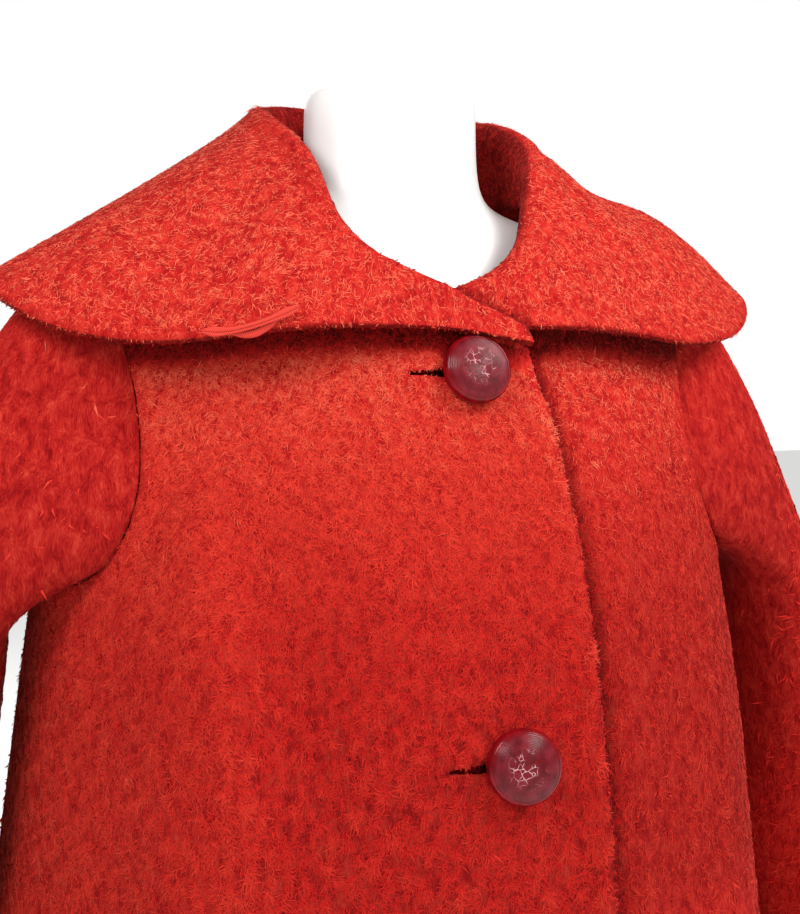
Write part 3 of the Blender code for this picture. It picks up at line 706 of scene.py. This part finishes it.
def edge_tone(points, normals):
    """Painted light on the right front's nap: a painted highlight along its edge, painted light at its side,
    and the painted shadow below the collar.
    """
    (out, out_run), (high, down_run) = SIDE_FROM, SIDE_BELOW
    side = eased((out - points[:, 0]) / out_run) * eased((high - points[:, 2]) / down_run)
    lit = EDGE_LIT * eased(1 - inside_edge(points) / EDGE_NAP) + SIDE_LIT * side
    return (1 + lit) * painted_collar_shadow(points)


STEP_SHADOW, STEP_LIGHTER = 0.2, 0.92  # the painted shadow's tone in the step, and what is added past it
STEP_PAST = (5 * MM, 16 * MM)  # how far past the edge the painted shadow begins to lift, and over how far


def step_shadow_tone(points, normals):
    """Painted shadow: the left front's nap darkened in the step beside the right front's edge, and below the
    collar.
    """
    start, run = STEP_PAST
    risen = eased((-inside_edge(points) - start) / run)
    return (STEP_SHADOW + STEP_LIGHTER * risen) * painted_collar_shadow(points)


COLLAR_END = ((0.000, 0.6965), (0.036, 0.679), (0.038, 0.669))  # across and high: its roll and edge
END_SHADOW, END_SHADOW_WIDTH = 0.6, 12 * MM  # how dark the painted shadow on the left collar is beside that end, and how far
END_LIT, END_WIDTH = 0.12, 6 * MM  # how much lighter the painted highlight on the end's own border is, and how far
INSIDE_SHADE = 0.6  # how dark the painted shade is inside the stand and under the collar


def past_collar_end(points):
    """How far a place lies past the right collar's end, where the left collar comes out below."""
    (x0, z0), (x1, z1), (x2, z2) = COLLAR_END
    roll = math.hypot(x1 - x0, z1 - z0)
    end = math.hypot(x2 - x1, z2 - z1)
    over_roll = ((z0 - z1) * (points[:, 0] - x0) + (x1 - x0) * (points[:, 2] - z0)) / roll
    over_end = ((z1 - z2) * (points[:, 0] - x1) + (x2 - x1) * (points[:, 2] - z1)) / end
    near = (points[:, 0] > x0) & (points[:, 1] < -0.06)
    return np.where(near, np.maximum(over_roll, over_end), 1.0)


def collar_tone(points, normals):
    """Painted shade on the collar: inside its stand and on its underside, a painted shadow on the left
    collar beside the right end, and a painted highlight on that end's border.
    """
    outwards = np.sum(unit(points * np.array([1.0, 1.0, 0.0])) * normals, -1)
    inside = eased((-outwards - 0.15) / 0.4)
    below = eased((-normals[:, 2] - 0.1) / 0.4)
    past = past_collar_end(points)
    step = END_SHADOW * eased(1 - past / END_SHADOW_WIDTH) * (past > 0)
    lit = END_LIT * eased(1 + past / END_WIDTH) * (past <= 0) * (points[:, 0] > 0)
    return (1 - INSIDE_SHADE * np.maximum(inside, below)) * (1 - step) + lit


def sample(mesh, weight, count, rng):
    """Points spread over a mesh's triangles by area times weight, with the normals there."""
    mesh.calc_loop_triangles()
    corners = np.empty(len(mesh.loop_triangles) * 3, np.int32)
    mesh.loop_triangles.foreach_get("vertices", corners)
    corners = corners.reshape(-1, 3)
    points, normals = points_of(mesh), normals_of(mesh)
    a, b, c = (points[corners[:, k]] for k in range(3))
    area = np.linalg.norm(np.cross(b - a, c - a), axis=1) / 2
    flat = unit(np.cross(b - a, c - a))
    share = area * weight((a + b + c) / 3, flat)
    total = np.cumsum(share)
    chosen = np.searchsorted(total, rng.uniform(0, total[-1], count))
    u, v = rng.uniform(size=(2, count))
    over = u + v > 1
    u[over], v[over] = 1 - u[over], 1 - v[over]
    w = np.stack([1 - u - v, u, v], -1)[:, :, None]
    at = (points[corners[chosen]] * w).sum(1)
    out = unit((normals[corners[chosen]] * w).sum(1))
    return at, out


CLOSE_HAIR = {
    "length": 5.0 * MM,
    "width": 0.43 * MM,
    "unrest": 0.6,
    "curl": 1.0,
    "stray": 0.08,
    "lift": (3, 18),
    "draw": 1.8 * MM,
}
WIDE_HAIR = dict(  # thicker than real, where fewer stand for many
    CLOSE_HAIR, length=6.5 * MM, width=1.1 * MM, unrest=0.5, curl=0.7, stray=0.0, lift=(1, 9)
)
EDGE_TRIM = (0.5, 8 * MM)  # the nap's length at a cut edge, and how far in it is whole again
BARE_BELOW = (1.9, 1.5)  # how deep the hollows between tufts are where they are bare, and over what rise
SOFT_SHARE = 0.87  # how far the light takes the cloth's face, and not each hair, as what it falls on
TUFT_ROUND = 0.25 * MM  # how far a tuft's slope turns that face
STEEP = 500.0  # the slope from which a tuft draws its hairs in fully
ROOT_DEPTH = 0.2 * MM  # of a hair's root in the cloth
HAIR_PARTS = ((1.0, 0.0, 0.45), (-0.1, 1.0, 0.55))  # share of its lift, of its curl and of its length
HAIR_LIGHT, TUFT_LIGHT, LIGHT_UNREST = 0.55, 0.075, 0.04
ROOT_TO_TIP = (-0.14, 0.01, 0.01, 0.06)  # painted shade at a hair's root and a paler tip: what is added to the light at its four points


def make_nap(name, mesh, weight, count, hair, flow_of, tone, from_rim, seed):
    """Loose hairs on a cloth: flat slivers with one bend, drawn into tufts and joined in one mesh."""
    rng = np.random.default_rng(seed)
    at, out = sample(mesh, weight, count, rng)
    tuft = tuft_height(at)
    smooth = 1 - roughness_of(at)
    hollow, run = BARE_BELOW
    kept = rng.uniform(size=count) < eased((tuft + hollow + 2 * smooth) / run)
    at, out, tuft = at[kept], out[kept], tuft[kept]
    rough = roughness_of(at)
    count = len(at)
    flow = flow_of(at, out)
    flow = unit(flow - out * np.sum(flow * out, -1, keepdims=True))
    beside = np.cross(out, flow)
    stray = rng.uniform(size=count) < hair["stray"]
    shortest, whole = EDGE_TRIM
    trim = shortest + (1 - shortest) * eased(from_rim(at) / whole)
    length = hair["length"] * rng.uniform(0.55, 1.4, count) * trim
    length *= (1 + 0.2 * tuft * rough) * (0.8 + 0.2 * rough)
    turn = 0.45 * SWIRLS.height(at) + 0.35 * LEAN.height(at) + rng.normal(0, hair["unrest"], count)
    turn = np.where(stray, rng.uniform(-math.pi, math.pi, count), turn)
    curl = rng.normal(0, hair["curl"], count)
    lift = np.radians(rng.uniform(*hair["lift"], count))
    pull = tuft_slope(at)
    pull = pull - out * np.sum(pull * out, -1, keepdims=True)
    pull = pull * (hair["draw"] / np.maximum(np.linalg.norm(pull, axis=-1, keepdims=True), STEEP))

    line = [at - out * ROOT_DEPTH]
    ways = []
    for rise, swing, share in HAIR_PARTS:
        angle = turn + curl * swing
        climb = lift * rise
        along = np.cos(angle)[:, None] * flow + np.sin(angle)[:, None] * beside
        ways.append(np.cos(climb)[:, None] * along + np.sin(climb)[:, None] * out)
        line.append(line[-1] + ways[-1] * (length * share)[:, None] + pull * (share * trim)[:, None])
    roll = rng.uniform(-0.6, 0.6, count)
    middle_way = unit(ways[0] + ways[1])
    across = unit(np.cross(middle_way, out))
    across = np.cos(roll)[:, None] * across + np.sin(roll)[:, None] * np.cross(across, middle_way)
    half = across * (hair["width"] * rng.uniform(0.35, 0.65, count))[:, None]
    verts = np.stack([line[0], line[1] - half, line[1] + half, line[2]], 1).reshape(-1, 3)
    first = np.arange(count)[:, None] * 4
    faces = np.concatenate([first + [0, 2, 1], first + [1, 2, 3]], 1).reshape(-1, 3)

    made = bpy.data.meshes.new(name)
    made.vertices.add(len(verts))
    made.vertices.foreach_set("co", verts.astype(np.float32).ravel())
    made.loops.add(faces.size)
    made.loops.foreach_set("vertex_index", faces.astype(np.int32).ravel())
    made.polygons.add(len(faces))
    made.polygons.foreach_set("loop_start", np.arange(len(faces), dtype=np.int32) * 3)
    made.update(calc_edges=True)
    made.shade_smooth()
    own = np.cross(half, middle_way)
    soft = unit(SOFT_SHARE * out + (1 - SOFT_SHARE) * unit(own) - TUFT_ROUND * tuft_slope(at))
    made.normals_split_custom_set_from_vertices(np.repeat(soft, 4, axis=0).tolist())
    # Painted shade and light: hairs darker in the tufts' hollows and lighter on their tops, with random
    # tone, the cloth's painted tone and lighter high up
    uneven = (TUFT_LIGHT * tuft + rng.normal(0, LIGHT_UNREST, count)) * rough
    light = (HAIR_LIGHT + uneven) * tone(at, out) * painted_height_light(at)
    shade = np.clip(light[:, None] + rough[:, None] * np.array(ROOT_TO_TIP), 0, 1)
    attribute = made.attributes.new("shade", "FLOAT", "POINT")
    attribute.data.foreach_set("value", shade.astype(np.float32).ravel())
    return add_piece(name, made, NAP)


PICTURE_FOOT = (0.33, 0.06)  # the height where the picture ends below, and over how far up
PICTURE_SIDES = (0.30, 0.05)  # how far to the sides it goes, and over how far in
PICTURE_MIDDLE = -0.01


def seen(points, normals):
    """How squarely the picture shows a place, from 0 to 1."""
    (foot, foot_run), (sides, sides_run) = PICTURE_FOOT, PICTURE_SIDES
    to_camera = unit(np.array(CAMERA_PLACE) - points)
    facing = eased((np.sum(to_camera * normals, -1) + 0.15) / 0.35)
    in_frame = eased((points[:, 2] - foot) / foot_run)
    near = eased((sides - np.abs(points[:, 0] - PICTURE_MIDDLE)) / sides_run)
    return facing * in_frame * near


def nap_weight(core, close):
    """A weight for the close nap where the picture looks, or for the wide nap elsewhere."""

    def weight(points, normals):
        side = 1.0 if core is collar_core else outer_share(points, normals, core)
        shown = seen(points, normals)
        return side * (shown if close else 1.02 - shown)

    return weight


GROUND = mohair_ground()
NAP = mohair_nap()
NAP_DEPTH = 1.0 * MM  # of a wall's thickness, which the nap takes up
NAP_FROM = (2 * MM, 10 * MM)  # how far from a cut edge that begins, and over how far
CREASE_FROM = 20 * MM  # how far from a cut edge a crease is whole
NECK_SEAM, NECK_BORDER = 1.5 * MM, 6 * MM  # how far the neckline goes into its seam, and from where
CORNER_RISE = 5 * MM  # how far the right front's top corner goes up into the fold of the collar's end
SIDE_SEAM = {"front_right": 0.4 * MM, "front_left": 0.4 * MM, "back": -0.4 * MM}  # into the seam
SIDE_BORDER = 4 * MM
PIT_SHADE = 0.36  # painted shade: how dark the hollows are that the close nap leaves, where the picture looks
GROUND_DEEP = 0.8  # painted shade: the ground's lightness low down
GROUND_FROM = (0.47, 0.25)  # the height where its painted light begins, and over how far up


def at_neckline(points):
    return eased((points[:, 2] - 0.657) / 0.004) * eased((0.094 - np.abs(points[:, 0])) / 0.006)


def at_corner(points):
    return eased((points[:, 0] - 0.016) / 0.014) * eased((points[:, 2] - 0.644) / 0.014)


def at_side(points):
    return (np.abs(points[:, 0]) > 0.15) & (points[:, 2] < 0.56)


def make_cloth(node, levels, core, tone):
    """A thin soft shell in a solid's place, with its creases, and how far places lie from its cut edges."""
    bm, rim = squares_of(node)
    mesh = divided(bm, "cloth_" + node, levels)
    from_rim = rim_finder(rim)
    points, normals = points_of(mesh), normals_of(mesh)
    outer = outer_share(points, normals, core)
    way_out = unit(points - core(points))
    edge = from_rim(points)
    rise = crease_rise(points, CREASES[node]) * eased(edge / CREASE_FROM)
    if node == "front_right":
        rise += edge_flare(points)
    if node == "front_left":
        rise += step_sink(points)
    nap_start, nap_run = NAP_FROM
    inset = NAP_DEPTH * outer * eased((edge - nap_start) / nap_run)
    moved = points + way_out * rise[:, None] - normals * inset[:, None]
    if node in SIDE_SEAM:
        moved[:, 1] += SIDE_SEAM[node] * eased(1 - edge / SIDE_BORDER) * at_side(points)
        moved[:, 2] += NECK_SEAM * eased(1 - edge / NECK_BORDER) * at_neckline(points)
    if node == "front_right":
        moved[:, 2] += CORNER_RISE * at_corner(points)
    put_points(mesh, moved)
    # Painted shade in the ground: in the close nap's pits, and darker lower down
    pit_shade = PIT_SHADE * seen(points, normals) * roughness_of(points)
    light_start, light_run = GROUND_FROM
    deep = GROUND_DEEP + (1 - GROUND_DEEP) * eased((points[:, 2] - light_start) / light_run)
    tones = np.clip(tone(points, normals) * deep * (1 - pit_shade), 0, 1)
    attribute = mesh.attributes.new("tone", "FLOAT", "POINT")
    attribute.data.foreach_set("value", tones.astype(np.float32))
    cloth = add_piece("cloth_" + node, mesh, GROUND)
    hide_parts(node)
    return cloth, from_rim


CLOTH = {  # divisions, core, close hairs, wide hairs, the nap's lie, its tone with any painted light and shade
    "front_right": (2, torso_core, (88000, 88000), 9000, fall_to_edge, edge_tone),
    "front_left": (2, torso_core, (46000,), 16000, fall_down, step_shadow_tone),
    "back": (1, torso_core, (), 42000, fall_down, even_tone),
    "sleeve_right": (1, arm_core, (), 28000, fall_down, even_tone),
    "sleeve_left": (1, arm_core, (), 28000, fall_down, even_tone),
    "collar": (2, collar_core, (78000,), 18000, fall_outwards, collar_tone),
}

for seed, (node, (levels, core, close, wide, flow, tone)) in enumerate(CLOTH.items(), 100):
    cloth, from_rim = make_cloth(node, levels, core, tone)
    batches = [("nap", count, CLOSE_HAIR) for count in close] + [("wide_nap", wide, WIDE_HAIR)]
    for number, (kind, count, hair) in enumerate(batches, 1):
        weight = nap_weight(core, hair is CLOSE_HAIR)
        name = f"{kind}_{number}_{node}"
        make_nap(name, cloth.data, weight, count, hair, flow, tone, from_rim, seed + 50 * number)

form_squares, _ = squares_of("dress_form")
form = add_piece("form_shell", divided(form_squares, "form_shell", 2), white_shell())
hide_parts("dress_form")


def turned_place(node):
    """A button's place from its solid: a frame on its back, Z out of the dome, and its sizes."""
    bm = merged(node)
    points = np.array([v.co for v in bm.verts])
    bm.free()
    middle = points.mean(0)
    spread, ways = np.linalg.eigh(np.cov((points - middle).T))
    # The two ways across a button are alike, so the axis is the way that is unlike them
    alone = 0 if spread[1] - spread[0] > spread[2] - spread[1] else 2
    axis = ways[:, alone] * -np.sign(ways[1, alone])
    along = (points - middle) @ axis
    away = np.linalg.norm(points - middle - along[:, None] * axis, axis=1)
    radius = away.max()
    back = along[away > radius / 2].min()
    turn = Vector(axis).to_track_quat("Z", "Y").to_matrix().to_4x4()
    place = Matrix.Translation(Vector(middle + axis * back)) @ turn
    return place, radius, along.max() - back, along.min() - back


BUTTON_RIM = 4.2 * MM  # the upright edge's height
SHANK_RADIUS = 2.6 * MM
CAP_GROOVE = 0.06 * MM
BUTTON_STEPS = 72
BACK_CURVE = ((0.93, 0.25 * MM), (0.98, 1.0 * MM), (1.0, 2.0 * MM), (1.0, 3.4 * MM))  # of its radius, high


def button_profile(radius, top, foot):
    """Radii and heights of a turned button: shank, back, clear edge, a groove, and the cap's dome."""

    def dome(r):
        return BUTTON_RIM + (top - BUTTON_RIM) * math.sqrt(max(0.0, 1 - (r / radius) ** 2))

    profile = [(0.0, foot), (SHANK_RADIUS, foot), (SHANK_RADIUS, 0.0), (radius * 0.86, 0.0)]
    profile += [(radius * share, height) for share, height in BACK_CURVE]
    edge = [radius * math.cos(a) for a in np.linspace(0.06, 0.46, 6)]
    profile += [(r, dome(r)) for r in edge if r > CAP_RADIUS + 0.5 * MM]
    profile.append((CAP_RADIUS + 0.35 * MM, dome(CAP_RADIUS + 0.35 * MM)))
    profile.append((CAP_RADIUS + 0.1 * MM, dome(CAP_RADIUS) - CAP_GROOVE))
    profile.append((CAP_RADIUS - 0.15 * MM, dome(CAP_RADIUS) - CAP_GROOVE))
    profile.append((CAP_RADIUS - 0.4 * MM, dome(CAP_RADIUS - 0.4 * MM)))
    profile += [(r, dome(r)) for r in np.linspace(CAP_RADIUS - 1.2 * MM, 1.2 * MM, 14)]
    return profile + [(0.0, top)]


def make_button(number, finish):
    """A button turned from its profile, in its solid's place."""
    node = f"button_{number}"
    place, radius, top, foot = turned_place(node)
    bm = bmesh.new()
    verts = [bm.verts.new((r, 0.0, z)) for r, z in button_profile(radius, top, foot)]
    edges = [bm.edges.new(pair) for pair in zip(verts, verts[1:])]
    bmesh.ops.spin(
        bm,
        geom=verts + edges,
        axis=(0, 0, 1),
        cent=(0, 0, 0),
        angle=2 * math.pi,
        steps=BUTTON_STEPS,
        use_merge=True,
    )
    bmesh.ops.remove_doubles(bm, verts=bm.verts, dist=0.01 * MM)
    bmesh.ops.recalc_face_normals(bm, faces=bm.faces)
    across = bm.verts.layers.float.new("across")
    for vert in bm.verts:
        vert[across] = vert.co.xy.length
    bm.transform(place)
    mesh = mesh_of(bm, "resin_" + node)
    mesh.set_sharp_from_angle(angle=math.radians(50))
    button = add_piece("resin_" + node, mesh, finish)
    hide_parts(node)


RESIN = turned_resin()
for number in (1, 2, 3):
    make_button(number, RESIN)

LOOP_RINGS = 10  # sides of the loop's solid
LOOP_OUT = Vector((0.0, -0.96, 0.28))  # away from the collar's face
LOOP_STEPS = 40
LOOP_EASE = 2  # steps to each side that its line is evened out over
LOOP_SHARES = (0.0, 0.05, 0.15, 0.30, 0.50, 0.70, 0.86, 0.95, 1.0)  # places along the loop
LOOP_WIDTHS = tuple(w * MM for w in (0.3, 3.0, 5.8, 3.8, 3.3, 3.4, 5.0, 3.2, 0.5))
LOOP_TURNS = (8.0, 5.0, 0.0, 14.0, 20.0, 14.0, 4.0, 0.0, 0.0)  # degrees, as the braid rolls on its edge
FRONT_RIBS = ((0.19, 0.58), (-0.29, 0.38))  # each rib's place across the braid, and its share of the width
RIB_OUT, RIB_THICKNESS = 0.9 * MM, 1.5 * MM
BACK_STRAND = (0.27, 0.82)  # of the front strand's length
BACK_SAG = 4.4 * MM
BACK_IN, BACK_THICKNESS = 0.7 * MM, 1.2 * MM
BACK_WIDTHS = (1.0 * MM, 2.8 * MM)  # at its ends, and what is added in its middle


def loop_path():
    """The loop's middle line, from its solid's rings of points, from the picture's left to its right."""
    bm = merged("collar_loop")
    points = np.array([v.co for v in bm.verts])
    bm.free()
    _, ways = np.linalg.eigh(np.cov(points.T))
    points = points[np.argsort(points @ (ways[:, 2] * np.sign(ways[0, 2])))]
    count = len(points) // LOOP_RINGS
    return points[: count * LOOP_RINGS].reshape(count, LOOP_RINGS, 3).mean(1)


def sweep(bm, places, sides, faces, widths, thickness):
    """A flat rib with an oval section, swept along places by bridging its rings."""
    rings = []
    for place, side, face, width in zip(places, sides, faces, widths):
        along = side.cross(face)
        turn = Matrix((side * width / 2, face * thickness / 2, along)).transposed().to_4x4()
        ring = bmesh.ops.create_circle(
            bm, segments=12, radius=1.0, matrix=Matrix.Translation(place) @ turn
        )
        rings.append(ring["verts"])
    edges = [list({e for v in ring for e in v.link_edges}) for ring in rings]
    for low, high in zip(edges, edges[1:]):
        bmesh.ops.bridge_loops(bm, edges=low + high)
    for ring in (rings[0], rings[-1]):
        bm.faces.new(ring)


def make_loop(finish):
    """A doubled braid: the front strand in two ribs with a groove between, and a sagging back strand."""
    path = loop_path()
    t = np.linspace(0.0, 1.0, LOOP_STEPS)
    steps = np.linspace(0.0, 1.0, len(path))
    even = np.stack([np.interp(t, steps, path[:, k]) for k in range(3)], -1)
    longer = np.pad(even, ((LOOP_EASE, LOOP_EASE), (0, 0)), mode="edge")
    line = [Vector(longer[i : i + 2 * LOOP_EASE + 1].mean(0)) for i in range(LOOP_STEPS)]
    bm = bmesh.new()
    widths = np.interp(t, LOOP_SHARES, LOOP_WIDTHS)
    turns = np.radians(np.interp(t, LOOP_SHARES, LOOP_TURNS))
    sides, faces = [], []
    for i in range(LOOP_STEPS):
        along = (line[min(i + 1, LOOP_STEPS - 1)] - line[max(i - 1, 0)]).normalized()
        face = (LOOP_OUT - along * LOOP_OUT.dot(along)).normalized()
        face.rotate(Matrix.Rotation(turns[i], 3, along))
        faces.append(face)
        sides.append(face.cross(along).normalized())
    for offset, share in FRONT_RIBS:
        places = [p + s * (w * offset) + f * RIB_OUT for p, s, f, w in zip(line, sides, faces, widths)]
        sweep(bm, places, sides, faces, widths * share, RIB_THICKNESS)
    first, last = (round(share * (LOOP_STEPS - 1)) for share in BACK_STRAND)
    middle = range(first, last + 1)
    sag = [math.sin(math.pi * (i - first) / (last - first)) for i in middle]
    places = [line[i] - faces[i] * BACK_IN - Vector((0, 0, BACK_SAG * d)) for i, d in zip(middle, sag)]
    back_sides = [sides[i] for i in middle]
    back_faces = [faces[i] for i in middle]
    narrow, more = BACK_WIDTHS
    sweep(bm, places, back_sides, back_faces, [narrow + more * d for d in sag], BACK_THICKNESS)
    bmesh.ops.recalc_face_normals(bm, faces=bm.faces)
    loop = add_piece("braid_loop", mesh_of(bm, "braid_loop"), finish)
    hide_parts("collar_loop")


make_loop(braid())


def make_stage():
    """A pale floor, a white room and two soft boxes in front, above the coat, with one behind."""
    bm = bmesh.new()
    bmesh.ops.create_grid(bm, x_segments=1, y_segments=1, size=6.0)
    floor = bpy.data.objects.new("floor", mesh_of(bm, "floor"))
    made, tree, shader = new_material("pale_floor", Roughness=0.8)
    shader.inputs["Base Color"].default_value = linear("#F4F3F1")
    shader.inputs["Emission Color"].default_value = linear("#FFFFFF")
    shader.inputs["Emission Strength"].default_value = 0.5
    floor.data.materials.append(made)
    bpy.context.scene.collection.objects.link(floor)

    world = bpy.data.worlds.new("white_room")
    bpy.context.scene.world = world
    world.use_nodes = True
    tree = world.node_tree
    tree.nodes.clear()
    shown = add_node(tree, "ShaderNodeBackground", inputs={"Color": linear("#FFFFFF"), "Strength": 1.0})
    room = add_node(tree, "ShaderNodeBackground", inputs={"Color": linear("#FFFFFF"), "Strength": 0.22})
    ray = add_node(tree, "ShaderNodeLightPath")
    both = add_node(
        tree,
        "ShaderNodeMixShader",
        links={0: ray.outputs["Is Camera Ray"], 1: room.outputs[0], 2: shown.outputs[0]},
    )
    add_node(tree, "ShaderNodeOutputWorld", links={"Surface": both.outputs[0]})

    for name, place, target, size, watts in (
        ("left_box", (-0.78, -0.50, 1.26), (0.0, -0.1, 0.70), 0.45, 7.9),
        ("right_box", (0.55, -0.60, 1.30), (0.0, -0.1, 0.70), 0.45, 10.0),
        ("fill", (-0.10, -1.20, 0.80), (0.0, -0.1, 0.70), 0.60, 4.4),
        ("behind", (0.3, 1.6, 1.5), (0.0, 0.0, 0.6), 1.2, 12.0),
    ):
        lamp = bpy.data.objects.new(name, bpy.data.lights.new(name, "AREA"))
        lamp.data.size = size
        lamp.data.energy = watts
        lamp.visible_glossy = name != "fill"  # too soft and far off to show in the buttons
        lamp.location = place
        lamp.rotation_euler = (Vector(target) - Vector(place)).to_track_quat("-Z", "Y").to_euler()
        bpy.context.scene.collection.objects.link(lamp)


def make_camera():
    """The camera, where the picture was taken from."""
    cam = bpy.data.objects.new("camera", bpy.data.cameras.new("camera"))
    cam.data.sensor_width = SENSOR
    cam.data.lens = SENSOR * FOCAL_PIXELS / PICTURE_HEIGHT
    cam.data.shift_x = SHIFT_PIXELS / PICTURE_HEIGHT
    cam.data.clip_start = 0.01
    cam.location = CAMERA_PLACE
    level = Vector((-CAMERA_PLACE.x, -CAMERA_PLACE.y, 0)).normalized()
    look = level * math.cos(CAMERA_PITCH) - Vector((0, 0, math.sin(CAMERA_PITCH)))
    cam.rotation_euler = look.to_track_quat("-Z", "Y").to_euler()
    bpy.context.scene.collection.objects.link(cam)
    bpy.context.scene.camera = cam


make_stage()
make_camera()
bpy.context.scene.view_settings.view_transform = "Standard"
